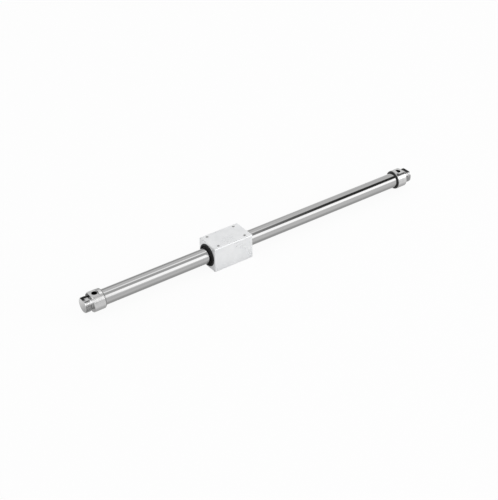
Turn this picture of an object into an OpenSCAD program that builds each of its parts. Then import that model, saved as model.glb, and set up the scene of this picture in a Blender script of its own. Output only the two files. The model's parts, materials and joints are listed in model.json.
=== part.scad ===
// Rodless cylinder with a magnetically coupled carriage, 25 mm bore size class.
// Millimetres. +X runs along the tube, +Z is the side with the air ports and the carriage's
// tapped holes. The origin is on the tube axis, halfway along the overall length.

/* [Travel] */
// Travel of the carriage from one stroke end to the other
stroke = 527; // [250:1:1000]
// Distance of the carriage from its left stroke end as drawn
carriage_at = 197.5; // [0:0.5:240]
// Free gap between scraper and attachment ring at a stroke end
end_gap = 0.5; // [0.2:0.1:3]
// Free gap between piston and bumper at a stroke end
stop_gap = 0.3; // [0.2:0.1:0.6]

/* [Tube] */
// Bore of the stainless tube
bore_d = 25; // [23:0.5:29]
// Wall of the tube
tube_wall = 0.7; // [0.6:0.05:1.1]
// Distance of the snap ring groove from the tube end
snap_at = 1.4; // [1:0.1:1.6]
// Width of the snap ring
snap_w = 1.2; // [1:0.1:1.4]
// Depth of the snap ring groove in the tube
snap_groove = 0.3; // [0.2:0.05:0.4]
// Radial thickness of the snap ring
snap_t = 1.2; // [1:0.1:1.4]
// Opening of the snap ring
snap_split = 4; // [2:0.5:8]

/* [Head covers] */
// Diameter of the mounting nose
nose_d = 26; // [24:0.5:28]
// Length of the mounting nose
nose_len = 13; // [11:0.5:18]
// Depth of the key flat on top of the nose
nose_flat_cut = 3.2; // [2:0.1:3.4]
// Chamfer of the nose end
nose_chamfer = 1; // [0.5:0.1:1.5]
// Width of the thread relief beside the shoulder
relief_w = 3.2; // [1.5:0.1:4]
// Depth of the thread relief
relief_cut = 1.4; // [0.8:0.1:1.6]
// Radial thickness of the collar outside the tube
collar_build = 3.8; // [3.4:0.1:5]
// Depth of the two wrench flats on the collar
collar_flat_cut = 2.6; // [1.5:0.1:3]
// Chamfer of the collar at the shoulder
shoulder_chamfer = 1.5; // [0.5:0.1:1.8]
// Chamfer of the collar at the attachment ring
collar_chamfer = 0.4; // [0.2:0.1:0.6]
// Distance of the port from the shoulder
port_at = 9; // [7:0.1:10]
// Tapping diameter of the port, for a 1/8 inch pipe thread
port_d = 8.6; // [7.6:0.1:9]
// Depth of the port thread
port_depth = 7.5; // [6:0.5:8]
// Chamfer of the port mouth
port_chamfer = 0.6; // [0.3:0.1:0.8]
// Wall between the port and the tube seat
port_wall = 1.9; // [1.8:0.1:3]
// Diameter of the air passage
passage_d = 6; // [4:0.5:7]
// Depth of the threaded mouth that takes the attachment ring
mouth_depth = 4.4; // [4.2:0.1:6]

/* [Attachment rings] */
// Radial thickness of the ring's thread over the tube
ring_build = 2.2; // [2:0.1:2.5]
// Length of the flange that stands outside the cover
ring_flange = 1.3; // [1.2:0.1:4]
// Chamfer of the flange
ring_chamfer = 0.6; // [0.3:0.1:0.8]

/* [Seals and bumpers] */
// Width of the tube gasket groove
gasket_w = 2.4; // [2:0.1:2.8]
// Depth of the tube gasket groove
gasket_cut = 1.6; // [1.2:0.1:1.8]
// Distance of the gasket groove from the tube end
gasket_at = 2; // [1:0.1:3]
// Thickness of the bumper
bumper_len = 2; // [1.5:0.1:3]
// Height of the neck that centres the bumper
bumper_neck = 1.4; // [0.8:0.1:1.4]
// Radial wall of that neck
neck_wall = 1.6; // [1.2:0.1:2]

/* [Magnet stacks] */
// Length of one magnet
magnet_len = 5; // [4:0.5:7]
// Length of one iron yoke
yoke_len = 4; // [3:0.5:6]

/* [Piston] */
// Diameter of the piston shaft
shaft_d = 8; // [6:0.5:9]
// Width of the piston wear ring
piston_wear_w = 5; // [4:0.2:5.4]
// Radial thickness of the piston wear ring
piston_wear_t = 1; // [0.8:0.1:1.4]
// Width of the piston seal
seal_w = 3.2; // [2.6:0.2:3.6]
// Radial depth of the piston seal
seal_t = 2.6; // [2:0.1:3]
// Land between the grooves, and from each groove to the piston's end
piston_land = 1.1; // [0.8:0.1:1.2]
// Thickness of the piston nut
nut_len = 4; // [3:0.2:4.4]
// Width across the flats of the piston nut
nut_af = 12; // [11:0.5:12.5]
// Length of shaft that stands out of the nut
shaft_proud = 0.8; // [0.2:0.1:1.2]

/* [Carriage] */
// Radial space between the tube and the carriage's bore
stack_build = 6.3; // [5.6:0.1:7.5]
// Thinnest wall of the carriage block
block_wall = 3.5; // [3.2:0.1:6]
// Rounding of the block's long edges
block_round = 3; // [0.6:0.1:4]
// Chamfer round the block's ends
block_chamfer = 1; // [0.3:0.1:1.2]
// Spacing of the tapped holes along the tube
hole_span_x = 53; // [44:1:56]
// Spacing of the tapped holes across the tube
hole_span_y = 33; // [31:1:36]
// Tapping diameter of those holes, for an M5 thread
hole_d = 4.2; // [3.2:0.1:4.6]
// Depth of those holes
hole_depth = 7; // [5:0.5:7.5]
// Countersink of the holes
hole_chamfer = 0.5; // [0.2:0.1:0.8]
// Length of the scraper that stands out of the block
scraper_proud = 1.5; // [0.6:0.1:2.5]
// Length of the scraper inside the block
scraper_seat = 3.6; // [3:0.1:6]
// Thickness of the carriage retaining ring
retainer_w = 1.2; // [1:0.1:1.5]
// Radial depth of its groove in the block
retainer_groove = 0.9; // [0.6:0.1:1.2]
// Length of the carriage wear ring
carriage_wear_len = 10; // [6:0.5:12]
// Length of the lubricant retainer
felt_len = 2; // [1.5:0.5:4]
// Thickness of the spacer beside the magnet stack
spacer_len = 1.1; // [0.8:0.1:2]

/* [Clearances] */
// Running clearance of wear rings and scrapers on the tube
run_fit = 0.04; // [0.02:0.01:0.08]
// Assembly clearance between pieces of one unit
seat_fit = 0.05; // [0.03:0.01:0.08]
// Radial air gap of the yokes to the tube, inside and outside
yoke_gap = 0.35; // [0.3:0.05:0.5]
// Further radial gap of the magnets behind the yokes
magnet_gap = 0.3; // [0.1:0.05:0.5]

/* [Hidden] */
$fn = 96;
// Overshoot of cutting shapes past the face that they cut
EPS = 0.01;
// Each magnet and each yoke is a node of its own, so their count is fixed
MAGNETS = 4;

// Tube
tube_r = bore_d / 2 + tube_wall;
bore_r = bore_d / 2;
snap_floor_r = tube_r - snap_groove;
snap_groove_w = snap_w + 2 * seat_fit;

// Magnet stacks and piston
pitch = magnet_len + yoke_len;
stack_len = MAGNETS * pitch + yoke_len;
shaft_r = shaft_d / 2;
shaft_hole_r = shaft_r + seat_fit;
piston_r = bore_r - yoke_gap;
piston_wear_groove = piston_wear_w + 2 * seat_fit;
seal_groove = seal_w + 2 * seat_fit;
piston_len = 3 * piston_land + piston_wear_groove + seal_groove;
piston_half = stack_len / 2 + piston_len;
piston_reach = piston_half + nut_len + shaft_proud;
nut_r = nut_af / 2 / cos(30);

// Carriage
carriage_bore_r = tube_r + stack_build;
insert_r = carriage_bore_r - seat_fit;
stack_hole_r = tube_r + yoke_gap;
retainer_slot = retainer_w + 2 * seat_fit;
block_end = scraper_seat + retainer_slot + carriage_wear_len + felt_len + spacer_len;
block_len = stack_len + 2 * block_end;
block_w = 2 * (carriage_bore_r + block_wall);

// Head covers, measured from the nose end towards the tube
nose_r = nose_d / 2;
nose_flat_h = nose_r - nose_flat_cut;
relief_r = nose_r - relief_cut;
collar_r = tube_r + collar_build;
collar_flat_h = collar_r - collar_flat_cut;
collar_len = port_at + port_d / 2 + port_wall + mouth_depth;
flat_margin = 0.3;
collar_flat_len = port_at + port_d / 2 + port_chamfer + flat_margin;
collar_end = nose_len + collar_len;
seat_x = collar_end - mouth_depth;
port_x = nose_len + port_at;
mouth_r = tube_r + ring_build + seat_fit;
plug_r = bore_r - seat_fit;
// Distance from the nose end to the middle of the carriage at its stroke end
carriage_stop = collar_end + ring_flange + end_gap + scraper_proud + block_len / 2;
plug_end = carriage_stop - piston_half - stop_gap - bumper_len;
nut_room = 0.5;
nut_recess_r = nut_r + nut_room;
nut_recess_x = carriage_stop - piston_reach - 2 * nut_room;
neck_r = nut_recess_r + neck_wall;
gasket_x = seat_x + gasket_at;
gasket_floor_r = plug_r - gasket_cut;

// Whole product
half_len = carriage_stop + stroke / 2;
tube_half = half_len - seat_x;
carriage_x = carriage_at - stroke / 2;

// ---------------------------------------------------------------- helpers

// A solid of revolution about the X axis; each point is [radius, x]
module revolve(points) {
    rotate([90, 0, 90])
        rotate_extrude()
            polygon(points);
}

// A plain ring about the X axis
module ring(x0, x1, r_in, r_out) {
    revolve([[r_in, x0], [r_out, x0], [r_out, x1], [r_in, x1]]);
}

// A ring whose four edges are chamfered
module soft_ring(x0, x1, r_in, r_out, c) {
    revolve([
        [r_in + c, x0], [r_out - c, x0], [r_out, x0 + c], [r_out, x1 - c],
        [r_out - c, x1], [r_in + c, x1], [r_in, x1 - c], [r_in, x0 + c]
    ]);
}

// Puts a piece drawn from the nose end inwards at the left end, or at the right
module at_left() {
    translate([-half_len, 0, 0]) children();
}

module at_right() {
    mirror([1, 0, 0]) at_left() children();
}

// Puts a piece drawn about the carriage's middle where the carriage stands
module at_carriage() {
    translate([carriage_x, 0, 0]) children();
}

module at_carriage_mirrored() {
    at_carriage() mirror([1, 0, 0]) children();
}

// ---------------------------------------------------------------- barrel

// Thin stainless tube with a snap ring groove near each end
module cylinder_tube() {
    g0 = tube_half - snap_at;
    g1 = g0 - snap_groove_w;
    color("silver")
        revolve([
            [bore_r, -tube_half], [tube_r, -tube_half],
            [tube_r, -g0], [snap_floor_r, -g0], [snap_floor_r, -g1], [tube_r, -g1],
            [tube_r, g1], [snap_floor_r, g1], [snap_floor_r, g0], [tube_r, g0],
            [tube_r, tube_half], [bore_r, tube_half]
        ]);
}

// Turned outline of a head cover: nose, relief, collar, threaded mouth, plug and air passage
module cover_turning() {
    plug_edge = 0.5;
    revolve([
        [0, 0], [nose_r - nose_chamfer, 0], [nose_r, nose_chamfer],
        [nose_r, nose_len - relief_w - relief_cut], [relief_r, nose_len - relief_w],
        [relief_r, nose_len],
        [collar_r - shoulder_chamfer, nose_len], [collar_r, nose_len + shoulder_chamfer],
        [collar_r, collar_end - collar_chamfer], [collar_r - collar_chamfer, collar_end],
        [mouth_r, collar_end], [mouth_r, seat_x],
        [plug_r, seat_x], [plug_r, gasket_x],
        [gasket_floor_r, gasket_x], [gasket_floor_r, gasket_x + gasket_w],
        [plug_r, gasket_x + gasket_w],
        [plug_r, plug_end - plug_edge], [plug_r - plug_edge, plug_end],
        [neck_r, plug_end], [neck_r, plug_end + bumper_neck],
        [nut_recess_r, plug_end + bumper_neck], [nut_recess_r, nut_recess_x],
        [passage_d / 2, nut_recess_x], [passage_d / 2, port_x - passage_d / 2],
        [0, port_x - passage_d / 2]
    ]);
}

// Flat cut across a round part at a height above the axis
module flat_cut(x0, x1, height, r) {
    translate([x0, -r, height])
        cube([x1 - x0, 2 * r, r]);
}

// Port: chamfered mouth, tapping hole and the passage down to the axis
module port_cut() {
    translate([port_x, 0, 0]) {
        cylinder(r = passage_d / 2, h = collar_flat_h);
        translate([0, 0, collar_flat_h - port_depth])
            cylinder(r = port_d / 2, h = port_depth + EPS);
        translate([0, 0, collar_flat_h - port_chamfer])
            cylinder(r1 = port_d / 2, r2 = port_d / 2 + port_chamfer + EPS, h = port_chamfer + EPS);
    }
}

module head_cover() {
    flat_end = nose_len + collar_flat_len;
    color("gainsboro")
        difference() {
            cover_turning();
            flat_cut(-EPS, nose_len, nose_flat_h, nose_r);
            flat_cut(nose_len - EPS, flat_end, collar_flat_h, collar_r);
            mirror([0, 0, 1])
                flat_cut(nose_len - EPS, flat_end, collar_flat_h, collar_r);
            port_cut();
        }
}

// Ring that slides on the tube behind the snap ring and screws into the cover
module attachment_ring() {
    tip_gap = 0.3;
    flange_step = 0.3;
    in_r = tube_r + seat_fit;
    thread_r = tube_r + ring_build;
    recess_r = snap_floor_r + snap_t + seat_fit;
    recess_end = seat_x + snap_at + snap_groove_w;
    flange_r = collar_r - flange_step;
    flange_end = collar_end + ring_flange;
    color("#202022")
        revolve([
            [recess_r, seat_x + tip_gap], [thread_r, seat_x + tip_gap],
            [thread_r, collar_end], [flange_r, collar_end],
            [flange_r, flange_end - ring_chamfer], [flange_r - ring_chamfer, flange_end],
            [in_r, flange_end], [in_r, recess_end], [recess_r, recess_end]
        ]);
}

// C-shaped wire ring in the tube's groove
module snap_ring() {
    x0 = seat_x + snap_at + seat_fit;
    r_in = snap_floor_r + seat_fit;
    r_out = snap_floor_r + snap_t;
    color("dimgray")
        difference() {
            ring(x0, x0 + snap_w, r_in, r_out);
            translate([x0 - EPS, -snap_split / 2, -r_out - EPS])
                cube([snap_w + 2 * EPS, snap_split, r_out]);
        }
}

// O-ring on the cover's plug, inside the tube
module tube_gasket() {
    room = bore_r - gasket_floor_r;
    section_r = room / 2 - seat_fit;
    color("#181818")
        translate([gasket_x + gasket_w / 2, 0, 0])
            rotate([0, 90, 0])
                rotate_extrude()
                    translate([gasket_floor_r + room / 2, 0])
                        circle(r = section_r, $fn = 48);
}

// Urethane ring that stops the piston
module bumper() {
    rim_gap = 0.7;
    edge = 0.3;
    color("#d8c9a0")
        soft_ring(plug_end, plug_end + bumper_len, neck_r + seat_fit, bore_r - rim_gap, edge);
}

// ---------------------------------------------------------------- piston

// Stainless shaft that carries the stack and the pistons
module piston_shaft() {
    tip = 0.6;
    color("silver")
        revolve([
            [0, -piston_reach], [shaft_r - tip, -piston_reach], [shaft_r, tip - piston_reach],
            [shaft_r, piston_reach - tip], [shaft_r - tip, piston_reach], [0, piston_reach]
        ]);
}

// Iron disc of the inner stack, counted from the left
module piston_yoke(i) {
    x0 = i * pitch - stack_len / 2;
    color("darkgray") ring(x0, x0 + yoke_len, shaft_hole_r, piston_r);
}

// Magnet of the inner stack, counted from the left
module piston_magnet(i) {
    x0 = i * pitch + yoke_len - stack_len / 2;
    color("slategray") ring(x0, x0 + magnet_len, shaft_hole_r, piston_r - magnet_gap);
}

// Aluminium piston with a groove for its wear ring and one for its seal
module piston() {
    x0 = stack_len / 2;
    wear_x = x0 + piston_land;
    seal_x = wear_x + piston_wear_groove + piston_land;
    wear_r = piston_r - piston_wear_t;
    seal_r = piston_r - seal_t;
    color("lightgray")
        revolve([
            [shaft_hole_r, x0], [piston_r, x0],
            [piston_r, wear_x], [wear_r, wear_x],
            [wear_r, wear_x + piston_wear_groove], [piston_r, wear_x + piston_wear_groove],
            [piston_r, seal_x], [seal_r, seal_x],
            [seal_r, seal_x + seal_groove], [piston_r, seal_x + seal_groove],
            [piston_r, piston_half - piston_land / 2],
            [piston_r - piston_land / 2, piston_half],
            [shaft_hole_r, piston_half]
        ]);
}

// Split resin ring that carries the piston in the bore
module piston_wear_ring() {
    split = 0.8;
    x0 = stack_len / 2 + piston_land + seat_fit;
    r_in = piston_r - piston_wear_t + seat_fit;
    r_out = bore_r - run_fit;
    color("#c9b27a")
        difference() {
            ring(x0, x0 + piston_wear_w, r_in, r_out);
            translate([x0 - EPS, -split / 2, 0])
                cube([piston_wear_w + 2 * EPS, split, bore_r]);
        }
}

// Lip seal whose groove faces the air pressure
module piston_seal() {
    x0 = stack_len / 2 + 2 * piston_land + piston_wear_groove + seat_fit;
    x1 = x0 + seal_w;
    r_in = piston_r - seal_t + seat_fit;
    r_out = bore_r - run_fit;
    mid = (r_in + r_out) / 2;
    lip = 0.3;
    color("#181818")
        revolve([
            [r_in, x0], [r_out - lip, x0], [r_out, x1 - lip], [r_out - lip, x1],
            [mid, x0 + seal_w / 2], [r_in + lip, x1], [r_in, x1 - lip]
        ]);
}

// Hexagon nut with chamfered corners
module piston_nut() {
    corner = nut_r - nut_af / 2;
    x1 = piston_half + nut_len;
    color("darkgray")
        intersection() {
            difference() {
                translate([piston_half, 0, 0])
                    rotate([0, 90, 0]) cylinder(r = nut_r, h = nut_len, $fn = 6);
                ring(piston_half - 1, x1 + 1, 0, shaft_hole_r);
            }
            revolve([
                [0, piston_half], [nut_r, piston_half], [nut_r, x1 - corner / 2],
                [nut_r - corner, x1], [0, x1]
            ]);
        }
}

// ---------------------------------------------------------------- carriage

// Square section with rounded corners
module rounded_square(w, r) {
    square([w, w - 2 * r], center = true);
    square([w - 2 * r, w], center = true);
    for (sx = [-1, 1], sy = [-1, 1])
        translate([sx * (w / 2 - r), sy * (w / 2 - r)]) circle(r = r, $fn = 48);
}

// Side view of the block, chamfered at its ends
module chamfered_side() {
    a = block_len / 2;
    b = block_w / 2;
    c = block_chamfer;
    polygon([
        [-a, c - b], [c - a, -b], [a - c, -b], [a, c - b],
        [a, b - c], [a - c, b], [c - a, b], [-a, b - c]
    ]);
}

module block_body() {
    intersection() {
        rotate([90, 0, 90])
            linear_extrude(block_len, center = true) rounded_square(block_w, block_round);
        rotate([90, 0, 0])
            linear_extrude(block_w, center = true) chamfered_side();
        linear_extrude(block_w, center = true) chamfered_side();
    }
}

// Bore of the block with a retaining ring groove near each end
module block_bore() {
    mouth = 0.4;
    a = block_len / 2;
    g0 = a - scraper_seat;
    g1 = g0 - retainer_slot;
    r = carriage_bore_r;
    rg = r + retainer_groove;
    revolve([
        [0, -a - mouth], [r + 2 * mouth, -a - mouth], [r, mouth - a],
        [r, -g0], [rg, -g0], [rg, -g1], [r, -g1],
        [r, g1], [rg, g1], [rg, g0], [r, g0],
        [r, a - mouth], [r + 2 * mouth, a + mouth], [0, a + mouth]
    ]);
}

// Tapped hole with its countersink and drill point, from the top face down
module tapped_hole() {
    r = hole_d / 2;
    point = r / tan(59);
    translate([0, 0, block_w / 2 - hole_depth]) {
        cylinder(r = r, h = hole_depth + EPS);
        translate([0, 0, -point]) cylinder(r1 = 0, r2 = r, h = point);
        translate([0, 0, hole_depth - hole_chamfer])
            cylinder(r1 = r, r2 = r + hole_chamfer + EPS, h = hole_chamfer + EPS);
    }
}

module carriage_block() {
    color("whitesmoke")
        at_carriage()
            difference() {
                block_body();
                block_bore();
                for (sx = [-1, 1], sy = [-1, 1])
                    translate([sx * hole_span_x / 2, sy * hole_span_y / 2, 0]) tapped_hole();
            }
}

// Rubber wiper in the block's mouth; its lip rides on the tube
module scraper() {
    x1 = block_len / 2 + scraper_proud;
    x0 = block_len / 2 - scraper_seat;
    lip_r = tube_r + run_fit;
    lip_w = 0.8;
    lip_t = 1.2;
    back_r = lip_r + lip_t;
    valley = (x1 - x0) / 2;
    edge = 0.4;
    color("#141414")
        revolve([
            [lip_r, x1], [lip_r + lip_w, x1], [back_r + lip_w, x1 - valley],
            [back_r + 2 * lip_w, x1 - valley], [back_r + 3 * lip_w, x1],
            [insert_r - edge, x1], [insert_r, x1 - edge], [insert_r, x0], [back_r, x0],
            [back_r - lip_w / 2, x1 - valley], [lip_r, x1 - lip_w]
        ]);
}

// C-shaped ring that locks the carriage's inserts in the block
module carriage_retaining_ring() {
    ring_t = 3;
    split = 8;
    x1 = block_len / 2 - scraper_seat - seat_fit;
    r_out = carriage_bore_r + retainer_groove - seat_fit;
    color("dimgray")
        difference() {
            ring(x1 - retainer_w, x1, r_out - ring_t, r_out);
            translate([x1 - retainer_w - EPS, -split / 2, -r_out - EPS])
                cube([retainer_w + 2 * EPS, split, r_out]);
        }
}

// Resin bush that guides the carriage on the tube
module carriage_wear_ring() {
    edge = 0.5;
    x0 = stack_len / 2 + spacer_len + felt_len;
    color("#c9b27a")
        soft_ring(x0, x0 + carriage_wear_len, tube_r + run_fit, insert_r, edge);
}

// Felt ring that keeps a film of grease on the tube
module lube_retainer() {
    x0 = stack_len / 2 + spacer_len;
    color("#b9b09a") ring(x0, x0 + felt_len, tube_r + run_fit, insert_r);
}

module carriage_spacer() {
    x0 = stack_len / 2;
    color("darkgray") ring(x0, x0 + spacer_len, stack_hole_r, insert_r);
}

// Iron ring of the outer stack, counted from the left
module carriage_yoke(i) {
    x0 = i * pitch - stack_len / 2;
    color("darkgray") ring(x0, x0 + yoke_len, stack_hole_r, insert_r);
}

// Magnet ring of the outer stack, counted from the left
module carriage_magnet(i) {
    x0 = i * pitch + yoke_len - stack_len / 2;
    color("slategray")
        ring(x0, x0 + magnet_len, stack_hole_r + magnet_gap, insert_r - magnet_gap);
}

// ---------------------------------------------------------------- nodes

cylinder_tube();
at_left() head_cover();  // left_head_cover
at_right() head_cover();  // right_head_cover
at_left() attachment_ring();  // left_attachment_ring
at_right() attachment_ring();  // right_attachment_ring
at_left() snap_ring();  // left_snap_ring
at_right() snap_ring();  // right_snap_ring
at_left() tube_gasket();  // left_tube_gasket
at_right() tube_gasket();  // right_tube_gasket
at_left() bumper();  // left_bumper
at_right() bumper();  // right_bumper
at_carriage() piston_shaft();
at_carriage_mirrored() piston();  // left_piston
at_carriage() piston();  // right_piston
at_carriage_mirrored() piston_seal();  // left_piston_seal
at_carriage() piston_seal();  // right_piston_seal
at_carriage_mirrored() piston_wear_ring();  // left_piston_wear_ring
at_carriage() piston_wear_ring();  // right_piston_wear_ring
at_carriage_mirrored() piston_nut();  // left_piston_nut
at_carriage() piston_nut();  // right_piston_nut
at_carriage() piston_yoke(0);  // piston_yoke_1
at_carriage() piston_yoke(1);  // piston_yoke_2
at_carriage() piston_yoke(2);  // piston_yoke_3
at_carriage() piston_yoke(3);  // piston_yoke_4
at_carriage() piston_yoke(4);  // piston_yoke_5
at_carriage() piston_magnet(0);  // piston_magnet_1
at_carriage() piston_magnet(1);  // piston_magnet_2
at_carriage() piston_magnet(2);  // piston_magnet_3
at_carriage() piston_magnet(3);  // piston_magnet_4
carriage_block();
at_carriage_mirrored() scraper();  // left_scraper
at_carriage() scraper();  // right_scraper
at_carriage_mirrored() carriage_retaining_ring();  // left_retaining_ring
at_carriage() carriage_retaining_ring();  // right_retaining_ring
at_carriage_mirrored() carriage_wear_ring();  // left_carriage_wear_ring
at_carriage() carriage_wear_ring();  // right_carriage_wear_ring
at_carriage_mirrored() lube_retainer();  // left_lube_retainer
at_carriage() lube_retainer();  // right_lube_retainer
at_carriage_mirrored() carriage_spacer();  // left_spacer
at_carriage() carriage_spacer();  // right_spacer
at_carriage() carriage_yoke(0);  // carriage_yoke_1
at_carriage() carriage_yoke(1);  // carriage_yoke_2
at_carriage() carriage_yoke(2);  // carriage_yoke_3
at_carriage() carriage_yoke(3);  // carriage_yoke_4
at_carriage() carriage_yoke(4);  // carriage_yoke_5
at_carriage() carriage_magnet(0);  // carriage_magnet_1
at_carriage() carriage_magnet(1);  // carriage_magnet_2
at_carriage() carriage_magnet(2);  // carriage_magnet_3
at_carriage() carriage_magnet(3);  // carriage_magnet_4
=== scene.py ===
# %% [markdown]
# # A magnetically coupled rodless air cylinder
#
# A piston inside a thin stainless tube carries a stack of magnets. A second stack, inside the
# square block outside, faces it through the tube's wall, so the block follows the piston with no
# rod and no slot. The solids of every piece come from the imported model. This script gives each
# piece its finish, cuts the threads that the solids leave out, and puts the cylinder in a plain
# pale studio.

# %% Load the solids
import json
import math
import bpy
from mathutils import Matrix, Vector


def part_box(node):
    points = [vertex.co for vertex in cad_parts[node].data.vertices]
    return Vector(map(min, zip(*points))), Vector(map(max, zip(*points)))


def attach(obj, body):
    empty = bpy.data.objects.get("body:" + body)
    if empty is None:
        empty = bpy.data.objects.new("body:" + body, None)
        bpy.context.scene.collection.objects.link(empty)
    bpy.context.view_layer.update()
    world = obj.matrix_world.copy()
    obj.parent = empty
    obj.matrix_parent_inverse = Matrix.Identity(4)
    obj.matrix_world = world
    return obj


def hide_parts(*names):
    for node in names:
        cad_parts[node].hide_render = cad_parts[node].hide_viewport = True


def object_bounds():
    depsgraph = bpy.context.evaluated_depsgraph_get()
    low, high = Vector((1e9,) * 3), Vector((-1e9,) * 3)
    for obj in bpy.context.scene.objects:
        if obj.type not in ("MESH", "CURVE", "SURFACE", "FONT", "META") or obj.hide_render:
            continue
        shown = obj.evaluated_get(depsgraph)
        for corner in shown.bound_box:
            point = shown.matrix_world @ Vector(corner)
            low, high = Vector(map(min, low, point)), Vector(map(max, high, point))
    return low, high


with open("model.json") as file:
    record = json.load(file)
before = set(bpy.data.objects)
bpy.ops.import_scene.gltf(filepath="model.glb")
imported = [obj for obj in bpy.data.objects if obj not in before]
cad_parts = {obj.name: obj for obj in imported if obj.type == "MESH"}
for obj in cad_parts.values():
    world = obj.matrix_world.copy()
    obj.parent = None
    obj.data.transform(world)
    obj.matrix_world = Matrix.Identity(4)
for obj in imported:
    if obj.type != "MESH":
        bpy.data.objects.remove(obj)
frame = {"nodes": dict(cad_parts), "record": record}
cad_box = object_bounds()
MM = 0.001
mounts = {m["name"]: m for m in frame["record"]["mounts"]}

# %% [markdown]
# ## The camera
#
# The camera comes first, because everything else is judged through it. It looks down on the
# cylinder from the front left, from almost two metres away through a long lens, so the tube keeps
# its parallel edges. Its place is worked out from the carriage's middle: an azimuth, an elevation
# and a distance, with a small step sideways so that the long tube fills the view evenly.

# %% Camera's numbers
AZIMUTH = math.radians(-35.34)
ELEVATION = math.radians(34.16)
ROLL = math.radians(-0.65)
DISTANCE = 1.8731
AIM_RIGHT = 0.0381
AIM_UP = -0.0044
LENS = 80.8

block_low, block_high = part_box("carriage_block")
carriage_middle = (block_low + block_high) / 2
print("aims beside", carriage_middle)

# %% [markdown]
# Three directions turn the camera: the one that points back to it, its right and its up. They are
# the columns of its matrix, which says more plainly than three angles where it looks.

# %% Camera
back = Vector((
    math.sin(AZIMUTH) * math.cos(ELEVATION),
    -math.cos(AZIMUTH) * math.cos(ELEVATION),
    math.sin(ELEVATION),
))
level_right = Vector((math.cos(AZIMUTH), math.sin(AZIMUTH), 0))
level_up = back.cross(level_right)
right = level_right * math.cos(ROLL) + level_up * math.sin(ROLL)
up = level_up * math.cos(ROLL) - level_right * math.sin(ROLL)
bpy.ops.object.camera_add()
camera = bpy.context.object
camera.name = "camera"
camera.data.lens = LENS
place = carriage_middle + back * DISTANCE + right * AIM_RIGHT + up * AIM_UP
turn = Matrix((right, up, back)).transposed().to_4x4()
camera.matrix_world = Matrix.Translation(place) @ turn
bpy.context.scene.camera = camera
bpy.context.scene.view_settings.view_transform = "Standard"
print("camera at", place)

# %% [markdown]
# ## Small helpers
#
# An operator acts on all that is selected, so each modelling step first selects just its own
# object, and a modifier is added and applied in one go.


# %% Selection and modifiers
def pick(*objects):
    """Selects only these objects, the first one active."""
    bpy.ops.object.select_all(action="DESELECT")
    for obj in objects:
        obj.select_set(True)
    bpy.context.view_layer.objects.active = objects[0]


def modify(obj, kind, **settings):
    """Adds a modifier to obj and applies it."""
    pick(obj)
    modifier = obj.modifiers.new(kind.lower(), kind)
    for name, value in settings.items():
        setattr(modifier, name, value)
    bpy.ops.object.modifier_apply(modifier=modifier.name)


print("modelling helpers ready")

# %% [markdown]
# A material is a tree of nodes. Written node by node it grows long, so one helper adds a node and
# fills its sockets, each with a number or with a link from another node.


# %% Adding a node
def fill(tree, socket, value):
    """Links a socket to another node's output, or gives it a plain value."""
    if isinstance(value, bpy.types.NodeSocket):
        tree.links.new(value, socket)
    else:
        socket.default_value = value


def add(tree, kind, sockets=None, **settings):
    """Adds a node, sets its properties, and fills or links the sockets named."""
    made = tree.nodes.new(kind)
    for name, value in settings.items():
        setattr(made, name, value)
    for name, value in (sockets or {}).items():
        fill(tree, made.inputs[name], value)
    return made


print("node helper ready")

# %% [markdown]
# Masks are made of sums: their product is where they overlap, and the opposite of one is
# everywhere else.


# %% Sums
def maths(tree, operation, a, b=0.0, clamp=False):
    """One sum on two values or sockets; returns its result."""
    made = add(tree, "ShaderNodeMath", {0: a, 1: b}, operation=operation, use_clamp=clamp)
    return made.outputs["Value"]


def product(tree, first, *others):
    """All the values multiplied: where masks overlap."""
    for other in others:
        first = maths(tree, "MULTIPLY", first, other)
    return first


def opposite(tree, mask):
    """One less the mask: everywhere else."""
    return maths(tree, "SUBTRACT", 1.0, mask)


print("sums ready")

# %% [markdown]
# Two more helpers turn a measure into a look: a smooth step from one range to another, and a mix of
# two colours.


# %% Ranges and colours
def span(tree, value, low, high, new_low=0.0, new_high=1.0):
    """Moves a value from one range to another, smoothly, and keeps it there."""
    ends = {"From Min": low, "From Max": high, "To Min": new_low, "To Max": new_high}
    made = add(tree, "ShaderNodeMapRange", {"Value": value, **ends},
               interpolation_type="SMOOTHSTEP")
    return made.outputs["Result"]


def tint(tree, share, first, second):
    """Mixes two colours; share 0 gives the first."""
    made = tree.nodes.new("ShaderNodeMix")
    made.data_type = "RGBA"
    fill(tree, made.inputs["Factor"], share)
    fill(tree, made.inputs[6], first)
    fill(tree, made.inputs[7], second)
    return made.outputs[2]


print("ranges ready")

# %% [markdown]
# The floor and the room each show one thing to the camera and another to the cylinder, so both mix
# shaders by the kind of ray that asks.


# %% Mixing shaders
def mixed(tree, share, first, second):
    """Mixes two shaders; share 0 gives the first."""
    made = add(tree, "ShaderNodeMixShader", {0: share, 1: first, 2: second})
    return made.outputs[0]


def looked_at(tree, rays):
    """1 where the camera looks straight or through something clear."""
    return maths(tree, "ADD", rays["Is Camera Ray"], rays["Is Transmission Ray"], clamp=True)


print("shader helpers ready")

# %% [markdown]
# ## The studio
#
# A product like this is shot on a white sweep. The floor is one large plane just under the block.

# %% Floor
FLOOR_SIZE = 12.0
FLOOR_DROP = 0.2 * MM

floor_z = cad_box[0].z - FLOOR_DROP
bpy.ops.mesh.primitive_plane_add(size=FLOOR_SIZE, location=(0, 0, floor_z))
floor = bpy.context.object
floor.name = "floor"
print("floor at", round(floor_z, 4))

# %% [markdown]
# To the camera the floor glows almost to white, and the rest of it stays ordinary matt paint, so a
# soft shadow is still there. Mirrors see it duller under the tube, where a real floor lies in
# shade, so a round piece darkens towards its lower edge.

# %% Floor paint
WHITE = (1, 1, 1, 1)
FLOOR_GLOW = 0.93
FLOOR_PAINT = (0.86, 0.86, 0.86, 1)
MIRRORED_UNDER, MIRRORED_FAR = 0.58, 1.00
UNDER_REACH, FAR_REACH = 12 * MM, 45 * MM

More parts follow.
